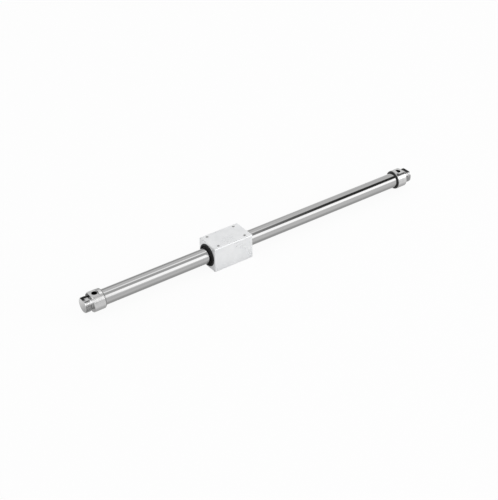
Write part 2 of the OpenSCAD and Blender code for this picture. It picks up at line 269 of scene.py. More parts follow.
floor_paint = bpy.data.materials.new("floor_paint")
floor_paint.use_nodes = True
tree = floor_paint.node_tree
tree.nodes.clear()
rays = add(tree, "ShaderNodeLightPath").outputs
spot = add(tree, "ShaderNodeSeparateXYZ", {0: add(tree, "ShaderNodeTexCoord").outputs["Object"]})
aside = maths(tree, "ABSOLUTE", spot.outputs["Y"])
level = span(tree, aside, UNDER_REACH, FAR_REACH, MIRRORED_UNDER, MIRRORED_FAR)
direct = looked_at(tree, rays)
strength = maths(tree, "MAXIMUM", direct, product(tree, rays["Is Glossy Ray"], level))
seen = maths(tree, "ADD", direct, rays["Is Glossy Ray"], clamp=True)
matt = add(tree, "ShaderNodeBsdfDiffuse", {"Color": FLOOR_PAINT}).outputs[0]
glow = add(tree, "ShaderNodeEmission", {"Color": WHITE, "Strength": strength}).outputs[0]
painted = mixed(tree, product(tree, seen, FLOOR_GLOW), matt, glow)
print("floor paint ready")

# %% [markdown]
# Seen from below, the plane lets everything through, so the underside can be looked at.

# %% One-sided floor
facing = add(tree, "ShaderNodeNewGeometry")
clear = add(tree, "ShaderNodeBsdfTransparent").outputs[0]
one_sided = mixed(tree, facing.outputs["Backfacing"], painted, clear)
add(tree, "ShaderNodeOutputMaterial", {"Surface": one_sided})
floor.data.materials.append(floor_paint)
print("floor staged")

# %% [markdown]
# ## The surroundings
#
# A polished tube shows nothing of its own: it mirrors the room in long streaks. A round bar turns
# every height of the room into one streak along its length, so the room is a set of soft bands
# round the tube's direction: a bright wall in front, a dark gap above it, a paler wall behind.
# Along the tube the room changes too, so each band has one level at the left and one at the right.
# The levels ride in the red and green of one colour ramp, and its blue marks the bright wall.

# %% Bands of the room
ROOM_BANDS = (
    # angle about the tube (-90 down, 0 front, 90 overhead, 180 behind), level left, level right,
    # and whether it is the bright wall
    (-180, 0.70, 1.05, 0), (-90, 0.60, 0.80, 0), (-2, 1.15, 1.15, 0), (10, 1.60, 1.30, 1),
    (22, 2.80, 2.70, 1), (46, 2.90, 2.80, 1), (55, 0.95, 0.05, 0), (82, 0.95, 0.05, 0),
    (89, 2.30, 0.10, 0), (97, 2.30, 1.15, 0), (105, 1.25, 1.20, 0), (138, 1.25, 1.20, 0),
    (150, 0.70, 1.12, 0), (180, 0.70, 1.05, 0),
)

world = bpy.data.worlds.new("studio")
bpy.context.scene.world = world
world.use_nodes = True
tree = world.node_tree
tree.nodes.clear()
coords = add(tree, "ShaderNodeTexCoord")
toward = add(tree, "ShaderNodeSeparateXYZ", {0: coords.outputs["Generated"]}).outputs
forward = maths(tree, "MULTIPLY", toward["Y"], -1.0)
angle = maths(tree, "ARCTAN2", toward["Z"], forward)
share = maths(tree, "ADD", maths(tree, "DIVIDE", angle, 2 * math.pi), 0.5)
ramp = add(tree, "ShaderNodeValToRGB", {0: share})
print("directions ready")

# %% [markdown]
# A ramp starts with a point at each end, and holds colours no brighter than 1. So the first and
# last bands take the points that are there, and all levels are divided by the brightest.

# %% Levels in the ramp
ramp.color_ramp.interpolation = "EASE"
brightest = max(left for _, left, _, _ in ROOM_BANDS)
points = ramp.color_ramp.elements
points[0].position = 0.0
points[1].position = 1.0
for at, left, far, wall in ROOM_BANDS:
    spot = at / 360 + 0.5
    if spot == 0:
        point = points[0]
    elif spot == 1:
        point = points[len(points) - 1]
    else:
        point = points.new(spot)
    point.color = (left / brightest, far / brightest, wall, 1)
print(len(points), "bands round the tube")

# %% [markdown]
# The direction along the tube mixes the two levels of each band.

# %% Left and right of the room
LEFT_END, RIGHT_END = 0.44, 0.55

levels = add(tree, "ShaderNodeSeparateColor", {0: ramp.outputs["Color"]}).outputs
along = span(tree, toward["X"], LEFT_END, RIGHT_END)
step = maths(tree, "SUBTRACT", levels["Green"], levels["Red"])
band = maths(tree, "MULTIPLY_ADD", step, along)
tree.links.new(levels["Red"], band.node.inputs[2])
print("bands change from", LEFT_END, "to", RIGHT_END)

# %% [markdown]
# The bright wall has a dim stretch at the left, comes up again at the far left, and grows brighter
# at the far right. The tube's narrow reflection hardly meets these, but the satin covers blur a
# wide stretch of the room. So the left cover comes out softer with a bright chamfer, and the right
# one almost white.

# %% Windows in the bright wall
DIM_EDGE, DIM_LEVEL = (0.338, 0.354), 0.20
LEFT_EDGE, LEFT_LIFT = (0.20, 0.10), 0.55
RIGHT_EDGE, RIGHT_LIFT = (0.61, 0.68), 0.9

window = span(tree, toward["X"], *DIM_EDGE, DIM_LEVEL, 1.0)
for edge, lift in ((RIGHT_EDGE, RIGHT_LIFT), (LEFT_EDGE, LEFT_LIFT)):
    window = maths(tree, "ADD", window, span(tree, toward["X"], *edge, 0.0, lift))
change = product(tree, levels["Blue"], maths(tree, "SUBTRACT", window, 1.0))
band = product(tree, band, maths(tree, "ADD", change, 1.0))
print("windows ready")

# %% [markdown]
# Matt surfaces don't need the bands: a soft light falls on them from all sides, stronger from
# overhead as under a studio's ceiling. Only mirrors see the bands, and the camera itself sees
# plain white.

# %% World
SOFT_LEVEL, SOFT_OVERHEAD = 0.50, 0.88

rays = add(tree, "ShaderNodeLightPath").outputs
bands = add(tree, "ShaderNodeBackground", {"Strength": product(tree, band, brightest)}).outputs[0]
level = span(tree, toward["Z"], 0.0, 1.0, SOFT_LEVEL, SOFT_OVERHEAD)
soft = add(tree, "ShaderNodeBackground", {"Color": WHITE, "Strength": level}).outputs[0]
lit = mixed(tree, rays["Is Diffuse Ray"], bands, soft)
backdrop = add(tree, "ShaderNodeBackground", {"Color": WHITE, "Strength": 1.0}).outputs[0]
sky = mixed(tree, looked_at(tree, rays), lit, backdrop)
add(tree, "ShaderNodeOutputWorld", {"Surface": sky})
print("soft light", SOFT_LEVEL, "to", SOFT_OVERHEAD)

# %% [markdown]
# ## Lamp
#
# One large soft lamp stands in front on the right. It lifts the block's front face and draws the
# soft shadow. Mirrors don't see it: their highlight comes from the room's bright band alone, so
# the streak on the tube and the light on the block can be set apart.

# %% Lamp
LAMP_AT = Vector((1.45, -1.55, 0.95))
LAMP_SIZE = 1.6
LAMP_POWER = 7.0

bpy.ops.object.light_add(type="AREA", location=LAMP_AT)
lamp = bpy.context.object
lamp.name = "front_softbox"
lamp.data.shape = "SQUARE"
lamp.data.size = LAMP_SIZE
lamp.data.energy = LAMP_POWER
lamp.visible_glossy = False
lamp.rotation_euler = (carriage_middle - LAMP_AT).to_track_quat("-Z", "Y").to_euler()
print("lamp", LAMP_POWER, "W")

# %% [markdown]
# ## Shared effects
#
# Some effects turn up on many pieces, so each is a node group with its own named inputs, built
# once. A group gives out values only, and the material decides which socket of its shader they
# move.


# %% Group maker
FLOAT = "NodeSocketFloat"


def group(name, inputs, outputs):
    """A node group with float sockets; returns it, the sockets that come in, and its end node."""
    made = bpy.data.node_groups.new(name, "ShaderNodeTree")
    for socket, value in inputs.items():
        new = made.interface.new_socket(socket, in_out="INPUT", socket_type=FLOAT)
        new.default_value = value
    for socket in outputs:
        made.interface.new_socket(socket, in_out="OUTPUT", socket_type=FLOAT)
    return made, made.nodes.new("NodeGroupInput").outputs, made.nodes.new("NodeGroupOutput")


def give(tree, end, **values):
    """Sends values to a group's outputs, and says how large the group is."""
    for name, value in values.items():
        tree.links.new(value, end.inputs[name])
    print(tree.name, len(tree.nodes), "nodes")


print("group maker ready")

# %% [markdown]
# The groups measure from the object's own coordinates. Every finished piece sits at the origin, so
# these are also its place in the cylinder.


# %% Measuring
def object_axes(tree):
    """The Object coordinates, whole and as X, Y and Z."""
    coords = add(tree, "ShaderNodeTexCoord")
    axes = add(tree, "ShaderNodeSeparateXYZ", {0: coords.outputs["Object"]})
    return coords.outputs["Object"], axes.outputs


def noise(tree, vector, scale, detail):
    """A noise value at a place."""
    made = add(tree, "ShaderNodeTexNoise", {"Vector": vector, "Scale": scale, "Detail": detail})
    return made.outputs["Fac"]


def root_of_squares(tree, a, b):
    """The distance whose two sides are a and b."""
    squares = maths(tree, "ADD", maths(tree, "MULTIPLY", a, a), maths(tree, "MULTIPLY", b, b))
    return maths(tree, "SQRT", squares)


print("measuring ready")

# %% [markdown]
# *Turned lay* is the mark of a lathe: fine rings at one spacing along the X axis and outwards from
# it. The noise is read in turned coordinates, so it comes out as rings with no extra masking. One
# copy of it is fine, for gloss and bump, and one slow, for tone.

# %% Turned lay
LAY_TONE_SCALE = 0.12

turned_lay, start, end = group("turned_lay", {"Pitch": 0.2 * MM}, ["Lay", "Tone"])
_, axes = object_axes(turned_lay)
radius = root_of_squares(turned_lay, axes["Y"], axes["Z"])
turned = {
    "X": maths(turned_lay, "DIVIDE", axes["X"], start["Pitch"]),
    "Y": maths(turned_lay, "DIVIDE", radius, start["Pitch"]),
    "Z": maths(turned_lay, "ARCTAN2", axes["Z"], axes["Y"]),
}
spot = add(turned_lay, "ShaderNodeCombineXYZ", turned).outputs[0]
give(turned_lay, end, Lay=noise(turned_lay, spot, 1.0, 2.0),
     Tone=noise(turned_lay, spot, LAY_TONE_SCALE, 3.0))

# %% [markdown]
# *Drawn lines* are the long scratches of a drawn or ground bar: the same noise, stretched along X.

# %% Drawn lines
LINE_TONE_SHARE = 0.15

drawn_lines, start, end = group("drawn_lines", {"Fineness": 3000.0, "Stretch": 0.02},
                                ["Lines", "Tone"])
_, axes = object_axes(drawn_lines)
long_x = maths(drawn_lines, "MULTIPLY", axes["X"], start["Stretch"])
stretched = {"X": long_x, "Y": axes["Y"], "Z": axes["Z"]}
spot = add(drawn_lines, "ShaderNodeCombineXYZ", stretched).outputs[0]
slower = maths(drawn_lines, "MULTIPLY", start["Fineness"], LINE_TONE_SHARE)
give(drawn_lines, end, Lines=noise(drawn_lines, spot, start["Fineness"], 3.0),
     Tone=noise(drawn_lines, spot, slower, 4.0))

# %% [markdown]
# *Mottle* is the unevenness of any real coat: a fine grain and a slow cloud.

# %% Mottle
mottle, start, end = group("mottle", {"Grain Size": 0.3 * MM, "Cloud Size": 20 * MM},
                           ["Grain", "Cloud"])
place, _ = object_axes(mottle)
grain_scale = maths(mottle, "DIVIDE", 1.0, start["Grain Size"])
cloud_scale = maths(mottle, "DIVIDE", 1.0, start["Cloud Size"])
give(mottle, end, Grain=noise(mottle, place, grain_scale, 3.0),
     Cloud=noise(mottle, place, cloud_scale, 4.0))

# %% [markdown]
# *Worn edge* finds the outside corners, where a coat is rubbed bright. A Bevel node rounds the
# normal near a corner, so where it leaves the true normal there is an edge, and noise breaks it up.

# %% Worn edge
TURNED_AWAY = (0.02, 0.16)
PATCHES = (0.30, 0.62)

worn_edge, start, end = group("worn_edge", {"Width": 0.4 * MM, "Breakup": 600.0}, ["Edge"])
place, _ = object_axes(worn_edge)
rounded = add(worn_edge, "ShaderNodeBevel", {"Radius": start["Width"]}, samples=4).outputs[0]
true_side = add(worn_edge, "ShaderNodeNewGeometry").outputs["Normal"]
agree = add(worn_edge, "ShaderNodeVectorMath", {0: rounded, 1: true_side},
            operation="DOT_PRODUCT")
turned_away = opposite(worn_edge, agree.outputs["Value"])
patchy = noise(worn_edge, place, start["Breakup"], 2.0)
rubbed = product(worn_edge, span(worn_edge, turned_away, *TURNED_AWAY),
                 span(worn_edge, patchy, *PATCHES))
give(worn_edge, end, Edge=rubbed)

# %% [markdown]
# *Cover zones* tells the parts of a head cover apart, so that one material can follow what was
# done to each: the thread on the nose, the milled flat over it and the shoulder beside it. Both
# covers are the same piece turned round, so it measures along X from the nearer nose end. Faces
# could be given a material each, but a thread is cut through them later, and a place stays true.

# %% Cover zones
UPWARD, SIDEWAYS = 0.98, 0.8
SHOULDER_MARGIN = 0.05 * MM

cover_zones, start, end = group(
    "cover_zones",
    {"Nose End": 300 * MM, "Nose Length": 13 * MM, "Nose Radius": 13 * MM},
    ["Nose", "Rubbed", "Thread", "Flat", "Shoulder", "Dark", "Rear"],
)
_, axes = object_axes(cover_zones)
from_middle = maths(cover_zones, "ABSOLUTE", axes["X"])
from_end = maths(cover_zones, "SUBTRACT", start["Nose End"], from_middle)
to_shoulder = maths(cover_zones, "SUBTRACT", start["Nose Length"], from_end)
radius = root_of_squares(cover_zones, axes["Y"], axes["Z"])
facing = add(cover_zones, "ShaderNodeNewGeometry").outputs["True Normal"]
normal = add(cover_zones, "ShaderNodeSeparateXYZ", {0: facing}).outputs
on_nose = maths(cover_zones, "GREATER_THAN", to_shoulder, SHOULDER_MARGIN)
looks_up = maths(cover_zones, "GREATER_THAN", normal["Z"], UPWARD)
lengthwise = maths(cover_zones, "ABSOLUTE", normal["X"])
looks_along = maths(cover_zones, "GREATER_THAN", lengthwise, SIDEWAYS)
print("zones measured")

# %% [markdown]
# The thread's grooves are where the surface lies deeper than the nose's radius, and they are
# darkened with painted shade. Two places stay lighter: a strip at the top of the nose's side on the
# left cover, which is a painted highlight, and the relief beside the shoulder, where the painted
# shade is weaker.

# %% Thread shade and painted highlight
GROOVE_DEPTH = (0.1 * MM, 0.6 * MM)
END_MARGIN = 0.2 * MM
STRIP_HEIGHT = (3.5 * MM, 6.5 * MM)
RELIEF, RELIEF_SHARE = (1.8 * MM, 3.6 * MM), 0.4
LEFT_TO_RIGHT = (-100 * MM, 100 * MM)

flat = product(cover_zones, on_nose, looks_up)
depth = maths(cover_zones, "SUBTRACT", start["Nose Radius"], radius)
in_groove = span(cover_zones, depth, *GROOVE_DEPTH)
behind_end = maths(cover_zones, "GREATER_THAN", from_end, END_MARGIN)
high = span(cover_zones, axes["Z"], *STRIP_HEIGHT)
relief = span(cover_zones, to_shoulder, *RELIEF, RELIEF_SHARE, 1.0)
thread = product(cover_zones, on_nose, in_groove, opposite(cover_zones, flat), behind_end,
                 opposite(cover_zones, high), relief)
on_left = span(cover_zones, axes["X"], *LEFT_TO_RIGHT, 1.0, 0.0)
# Painted highlight: a pale strip high on the nose's side, on the left cover only.
painted_highlight = product(cover_zones, on_nose, high, opposite(cover_zones, looks_along), on_left)
print("thread ready")

# %% [markdown]
# The shoulder is the ring of metal that looks along the tube where the nose meets the collar. Its
# rear half, like the rear of the flat, is painted nearly black as painted shade.

# %% Shoulder and rear
SHOULDER_REACH = 1.6 * MM
REAR = (-0.2 * MM, 3.6 * MM)

beside = maths(cover_zones, "COMPARE", to_shoulder, 0.0)
beside.node.inputs[2].default_value = SHOULDER_REACH
shoulder = product(cover_zones, beside, looks_along)
# The rear mask places painted shade on the shoulder and on the flat.
rear = span(cover_zones, axes["Y"], *REAR)
print("shoulder ready")

# %% [markdown]
# The flat is milled after the nose is threaded, and only its middle keeps the milled tone. Towards
# the rear, at the outer end, along the front rim and beside the shoulder it is painted nearly
# black, as painted shade and a painted dark reflection. The right flat is darkened all across its
# outer end, the left one only at the corner.

# %% Painted shade on the flat
CORNER_ENDWISE, CORNER_ACROSS = (6.0 * MM, 3.5 * MM), (-6.5 * MM, 0.5 * MM)
FAR_END = (8.5 * MM, 5.8 * MM)
FRONT_RIM, RIM_SHARE = (-4.2 * MM, -6.6 * MM), 0.75
INNER_EDGE, INNER_SHARE = (2.2 * MM, 0.6 * MM), 0.7

# Painted shade and a painted dark reflection: these masks darken the flat at the outer end, along
# the front rim and beside the shoulder.
corner = product(cover_zones, span(cover_zones, from_end, *CORNER_ENDWISE),
                 span(cover_zones, axes["Y"], *CORNER_ACROSS))
on_right = maths(cover_zones, "GREATER_THAN", axes["X"], 0.0)
far_end = product(cover_zones, span(cover_zones, from_end, *FAR_END), on_right)
rim = product(cover_zones, span(cover_zones, axes["Y"], *FRONT_RIM), RIM_SHARE)
inner = product(cover_zones, span(cover_zones, to_shoulder, *INNER_EDGE), INNER_SHARE)
dark = rear
for shaded_part in (corner, far_end, rim, inner):
    dark = maths(cover_zones, "MAXIMUM", dark, shaded_part)
give(cover_zones, end, Nose=on_nose, Rubbed=painted_highlight, Thread=thread, Flat=flat, Shoulder=shoulder,
     Dark=dark, Rear=rear)

# %% [markdown]
# *Drilled zone* finds the insides of holes that go down from a top face. The holes stand at the
# corners of a rectangle, whose half sides may be nothing, so it serves one port on each cover as
# well as four tapped holes in the block.

# %% Drilled zone
drilled_zone, start, end = group(
    "drilled_zone",
    {"Middle X": 0.0, "Half X": 10 * MM, "Half Y": 0.0, "Radius": 2 * MM, "Bottom": 0.0},
    ["Inside"],
)
_, axes = object_axes(drilled_zone)
from_middle = maths(drilled_zone, "SUBTRACT", axes["X"], start["Middle X"])
off_x = maths(drilled_zone, "SUBTRACT", maths(drilled_zone, "ABSOLUTE", from_middle),
              start["Half X"])
off_y = maths(drilled_zone, "SUBTRACT", maths(drilled_zone, "ABSOLUTE", axes["Y"]),
              start["Half Y"])
away = root_of_squares(drilled_zone, off_x, off_y)
near = maths(drilled_zone, "LESS_THAN", away, start["Radius"])
above = maths(drilled_zone, "GREATER_THAN", axes["Z"], start["Bottom"])
give(drilled_zone, end, Inside=product(drilled_zone, near, above))

# %% [markdown]
# ## Finishes
#
# Each finish is one material, named as the record's slot. A metal's own numbers, such as how
# metallic it is, sit on the shader. What changes over the surface comes from the groups: tone into
# the base colour, lines into roughness and a very shallow bump.


# %% Material helpers
materials = {}


def finish(name, **settings):
    """A new material with its Principled shader set; returns its node tree and shader."""
    made = bpy.data.materials.new(name)
    made.use_nodes = True
    materials[name] = made
    shader = made.node_tree.nodes["Principled BSDF"]
    for socket, value in settings.items():
        words = socket.replace("_", " ").title().replace("Ior", "IOR")
        shader.inputs[words].default_value = value
    return made.node_tree, shader


def effect(tree, node_group, **values):
    """Places a node group in a material with its own values."""
    made = tree.nodes.new("ShaderNodeGroup")
    made.node_tree = node_group
    for name, value in values.items():
        made.inputs[name.replace("_", " ").title()].default_value = value
    return made.outputs


print("material helpers ready")

# %% [markdown]
# Noise gathers round one half, so its useful middle is stretched before it mixes anything.


# %% Colour, gloss and bump
MIDDLE = (0.3, 0.7)


def grey(value, warmth=0.0):
    """A grey of that value, a little warm or cold."""
    return (value * (1 + warmth), value, value * (1 - warmth), 1)


def dress(tree, shader, colour, gloss):
    """Sends a colour and a roughness to the shader."""
    tree.links.new(colour, shader.inputs["Base Color"])
    tree.links.new(gloss, shader.inputs["Roughness"])


def bumps(tree, shader, height, distance):
    """Sends a height, times a distance in metres, to the shader's normal."""
    made = add(tree, "ShaderNodeBump", {"Height": height, "Distance": distance, "Strength": 1.0})
    tree.links.new(made.outputs["Normal"], shader.inputs["Normal"])


print("finish helpers ready")

# %% [markdown]
# The tube is drawn stainless steel, polished by centreless grinding and then run smooth by the
# scrapers. Its lines go lengthwise, and it stays a mirror, so roughness is low and hardly varies.
# The bright and dark streaks could be painted on, but they belong to the room, and painted ones
# would stay where they are when the view turns.

# %% Stainless tube and shaft
STEEL = grey(0.40), grey(0.46, 0.006)
STEEL_GLOSS = (0.25, 0.75, 0.07, 0.12)
STEEL_STRETCH = 0.012
SCRATCH = 0.002 * MM

for name, fineness in (("tube_stainless", 1800.0), ("shaft_stainless", 2600.0)):
    tree, shader = finish(name, metallic=1.0)
    lines = effect(tree, drawn_lines, fineness=fineness, stretch=STEEL_STRETCH)
    steel = tint(tree, span(tree, lines["Tone"], *MIDDLE), *STEEL)
    dress(tree, shader, steel, span(tree, lines["Tone"], *STEEL_GLOSS))
    bumps(tree, shader, lines["Lines"], SCRATCH)
print("steel ready")

# %% [markdown]
# The covers are turned from alloy bar and plated with satin nickel. The lathe leaves rings, which
# the plating softens. Corners are a little brighter, where the plating is buffed by handling.

# %% Plated covers
PLATED = grey(0.55), grey(0.61, 0.006)
BUFFED = grey(0.80)
SATIN = (0.17, 0.24)
TONE_SUM = (0.75, 1.25)
COVER_RINGS = 0.012 * MM

tree, shader = finish("cover_alloy", metallic=1.0)
lay = effect(tree, turned_lay, pitch=0.16 * MM)
clouds = effect(tree, mottle, grain_size=0.4 * MM, cloud_size=12 * MM)
edge = effect(tree, worn_edge, width=0.35 * MM, breakup=500.0)
tone = span(tree, maths(tree, "ADD", lay["Tone"], clouds["Cloud"]), *TONE_SUM)
plated = tint(tree, edge["Edge"], tint(tree, tone, *PLATED), BUFFED)
satin = span(tree, lay["Lay"], *MIDDLE, *SATIN)
bumps(tree, shader, lay["Lay"], COVER_RINGS)
print("plating ready")

# %% [markdown]
# The plating is thin in the thread, missing on the milled flat and absent in the tapped port, whose
# inside is painted nearly black as painted shade. So the two groups that know these places are
# given the real sizes, which the record's mounts hold.

# %% Places on the covers
PORT_CHAMFER = 0.6 * MM
ABOVE_AXIS = 0.6 * MM  # the port's zone starts here, clear of the cover's underside

nose_end = cad_box[1].x
shoulder_x = mounts["right_shoulder"]["pos_m"][0]
port = mounts["right_port"]
zones = effect(
    tree, cover_zones, nose_end=nose_end, nose_length=nose_end - shoulder_x,
    nose_radius=mounts["right_nose"]["dims"]["r_mm"] * MM,
)
in_port = effect(
    tree, drilled_zone, half_x=port["pos_m"][0],
    radius=port["dims"]["r_mm"] * MM + PORT_CHAMFER, bottom=ABOVE_AXIS,
)["Inside"]
print("nose", round((nose_end - shoulder_x) / MM, 1), "mm long")

# %% [markdown]
# Each zone's mask mixes its own tone over the plating, in the order in which the real piece was
# made and worn; the dark tones of the groove, shoulder, flat and port are painted shade, and the
# strip on the nose a painted highlight. The nut has burnished the whole nose, so it is a little
# glossier than the rest.

# %% Bare zones and painted shade of the covers
MILLED, FLAT_SHADE_TONE = grey(0.62), grey(0.006)
SHADE_GRAIN = (0.1, 0.5, 0.95, 1.0)
SHOULDER_SHADE, SHOULDER_SHADE_TONE = (0.08, 0.98), grey(0.01)
PAINTED_HIGHLIGHT_TONE = grey(0.90)
GROOVE_SHADE, GROOVE_SHARE = grey(0.07), 0.85
PORT_SHADE = grey(0.012)
BURNISH = 0.03

# Painted shade and a painted dark reflection on the flat, broken up by grain.
flat_shade = product(tree, zones["Dark"], span(tree, clouds["Grain"], *SHADE_GRAIN))
milled_and_shaded = tint(tree, flat_shade, MILLED, FLAT_SHADE_TONE)
# Painted shade: the shoulder goes nearly black towards the rear.
shade = span(tree, zones["Rear"], 0.0, 1.0, *SHOULDER_SHADE)
shaded = tint(tree, shade, plated, SHOULDER_SHADE_TONE)
# Painted highlight: the strip on the left nose is made almost white.
body = tint(tree, zones["Rubbed"], plated, PAINTED_HIGHLIGHT_TONE)
# Painted shade: the thread's grooves are darkened almost to black.
body = tint(tree, product(tree, zones["Thread"], GROOVE_SHARE), body, GROOVE_SHADE)
body = tint(tree, zones["Shoulder"], body, shaded)
body = tint(tree, zones["Flat"], body, milled_and_shaded)
# Painted shade: the port's inside is nearly black.
body = tint(tree, in_port, body, PORT_SHADE)
burnished = product(tree, zones["Nose"], -BURNISH)
dress(tree, shader, body, maths(tree, "ADD", satin, burnished))
print("bare zones ready")

# %% [markdown]
# The attachment rings are hard anodised: nearly black, a little velvety, with grey corners where
# the coat is thin. The rim is lightened to a grey as a painted sheen. It is found by its distance
# from the axis, so the ring's mesh needs no extra edges.

# %% Black anodised rings
ANODISED = grey(0.012), grey(0.024, 0.02)
THIN_COAT_AND_SHEEN = grey(0.34)
ANODISED_GLOSS = (0.34, 0.46)
RIM_DEPTH, RIM_SHEEN = 0.4 * MM, 0.85
CORNER_WEAR = 0.45
ANODISED_GRAIN = 0.008 * MM

rim_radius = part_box("left_attachment_ring")[1].z
tree, shader = finish("black_anodised_alloy", metallic=0.35)
lay = effect(tree, turned_lay, pitch=0.22 * MM)
clouds = effect(tree, mottle, grain_size=0.25 * MM, cloud_size=6 * MM)
edge = effect(tree, worn_edge, width=0.3 * MM, breakup=900.0)
_, axes = object_axes(tree)
reach = root_of_squares(tree, axes["Y"], axes["Z"])
# Painted sheen: the rim near the largest radius turns grey all round.
rim = product(tree, span(tree, reach, rim_radius - RIM_DEPTH, rim_radius), RIM_SHEEN)
# worn holds the corner wear and the rim's painted sheen.
worn = maths(tree, "MAXIMUM", product(tree, edge["Edge"], CORNER_WEAR), rim)
black = tint(tree, worn, tint(tree, clouds["Cloud"], *ANODISED), THIN_COAT_AND_SHEEN)
dress(tree, shader, black, span(tree, lay["Lay"], *MIDDLE, *ANODISED_GLOSS))
bumps(tree, shader, maths(tree, "ADD", lay["Lay"], clouds["Grain"]), ANODISED_GRAIN)
print("anodising ready")

# %% [markdown]
# The block is alloy, bead blasted and given a thin pale satin coat that the metal shines through,
# so it is half metallic. The blasting shows as a grain that is too fine to count and only breaks
# up the light, so a bump is enough for it and no dent is modelled. Handling leaves faint clouds.
# The holes are tapped afterwards, so inside them the metal is bare and dull.

# %% Pale blasted block
COAT = grey(0.78, -0.012), grey(0.84, -0.008)
SPECKS, SPECK_TONE = (0.56, 0.72, 0.0, 0.10), grey(0.62)
BLOCK_EDGE, BLOCK_WEAR_AND_SHEEN = grey(0.92), 0.5
BLOCK_GLOSS = (0.27, 0.34)
TAP_CHAMFER, TAP_TONE = 0.5 * MM, grey(0.74)
BLASTING = 0.008 * MM

tree, shader = finish("block_finish", metallic=0.5, specular_ior_level=0.45)
clouds = effect(tree, mottle, grain_size=0.22 * MM, cloud_size=18 * MM)
edge = effect(tree, worn_edge, width=0.4 * MM, breakup=300.0)
coat = tint(tree, span(tree, clouds["Cloud"], *MIDDLE), *COAT)
coat = tint(tree, span(tree, clouds["Grain"], *SPECKS), coat, SPECK_TONE)
# Corners are brighter: partly wear, partly a painted highlight along the block's rounded edges.
coat = tint(tree, product(tree, edge["Edge"], BLOCK_WEAR_AND_SHEEN), coat, BLOCK_EDGE)
holes = mounts["carriage_holes"]
hole_radius = holes["dims"]["hole_r_mm"] * MM
half_x = holes["dims"]["spacing_x_mm"] * MM / 2
half_y = holes["dims"]["spacing_y_mm"] * MM / 2
in_tap = effect(tree, drilled_zone, middle_x=holes["pos_m"][0], half_x=half_x, half_y=half_y,
                radius=hole_radius + TAP_CHAMFER)["Inside"]
gloss = span(tree, clouds["Cloud"], *MIDDLE, *BLOCK_GLOSS)
dress(tree, shader, tint(tree, in_tap, coat, TAP_TONE), gloss)
bumps(tree, shader, clouds["Grain"], BLASTING)
print("block coat ready")

# %% [markdown]
# Rubber and urethane are moulded. Both are matt with a soft skin; rubber also carries a film of
# dust and grease, which shows as paler clouds. Resin and felt are made in the same way.


# %% Moulded soft parts
SKIN_CLOUDS, SKIN_GRAIN = 4 * MM, 0.02 * MM
SKIN_DRIFT = (0.32, 0.7)
GLOSS_DRIFT = 0.06


def moulded(name, dark, pale, rough, grain=0.3 * MM, **settings):
    """A matt moulded skin whose colour drifts between two tones."""
    tree, shader = finish(name, metallic=0.0, **settings)
    clouds = effect(tree, mottle, grain_size=grain, cloud_size=SKIN_CLOUDS)
    skin = tint(tree, span(tree, clouds["Cloud"], *SKIN_DRIFT), dark, pale)
    gloss = span(tree, clouds["Grain"], *MIDDLE, rough - GLOSS_DRIFT, rough + GLOSS_DRIFT)
    dress(tree, shader, skin, gloss)
    bumps(tree, shader, clouds["Grain"], SKIN_GRAIN)


moulded("seal_rubber", grey(0.006), grey(0.014), 0.60, specular_ior_level=0.2)
moulded("bumper_urethane", (0.62, 0.50, 0.28, 1), (0.70, 0.60, 0.38, 1), 0.40)
moulded("bearing_resin", (0.50, 0.38, 0.20, 1), (0.60, 0.47, 0.27, 1), 0.50)
moulded("lube_felt", (0.42, 0.37, 0.28, 1), (0.62, 0.57, 0.46, 1), 0.90, grain=0.6 * MM)
print("soft parts ready")

# %% [markdown]
# The metals inside are seldom seen, but they are what the cylinder works by: soft iron yokes with
# a yellowish zinc coat, nickel-plated magnets, chromated pistons and dark spring steel.


# %% Inner metals
INNER_EDGE_TONE = grey(0.75)
INNER_DRIFT, INNER_RINGS = 0.05, 0.01 * MM


def inner_metal(name, dull, bright, rough, pitch):
    """A turned metal whose tone and gloss follow the lathe's rings."""
    tree, shader = finish(name, metallic=1.0)
    lay = effect(tree, turned_lay, pitch=pitch)
    edge = effect(tree, worn_edge, width=0.2 * MM, breakup=1200.0)
    body = tint(tree, span(tree, lay["Tone"], *MIDDLE), dull, bright)
    gloss = span(tree, lay["Lay"], *MIDDLE, rough - INNER_DRIFT, rough + INNER_DRIFT)
    dress(tree, shader, tint(tree, edge["Edge"], body, INNER_EDGE_TONE), gloss)
    bumps(tree, shader, lay["Lay"], INNER_RINGS)


inner_metal("yoke_steel", (0.42, 0.40, 0.33, 1), (0.52, 0.50, 0.42, 1), 0.34, 0.25 * MM)
inner_metal("magnet_plating", grey(0.52, 0.02), grey(0.60, 0.02), 0.20, 0.4 * MM)
inner_metal("piston_alloy", (0.62, 0.58, 0.48, 1), (0.70, 0.67, 0.58, 1), 0.32, 0.2 * MM)
inner_metal("spring_steel", grey(0.10), grey(0.18), 0.40, 0.3 * MM)
print(sorted(materials))

# %% [markdown]
# ## The solids get their finishes
#
# The record says which slot each solid belongs to. A solid's mesh stays as it is: only what sits
# in its material slots changes.


# %% Materials on the solids
def coat_with(obj, slot):
    """Gives an object one finish and no other."""
    obj.data.materials.clear()
    obj.data.materials.append(materials[slot])


for part in frame["record"]["subparts"]:
    coat_with(frame["nodes"][part["node"]], part["material_slot"])

# %% [markdown]
# ## Threads
#
# The solids have plain cylinders where the real pieces are threaded. A thread is a V that winds
# along an axis, so one equilateral triangle, swept by a Screw modifier, is its exact cutter: sixty
# degrees between its flanks. For a rod the V points inwards and for a hole outwards. Drawing every
# ridge by hand would give the same shape with far more to get wrong.


# %% Thread cutter
CUTTER_SHARE = 0.531  # of the pitch: a triangle whose base is 0.92 of the pitch wide


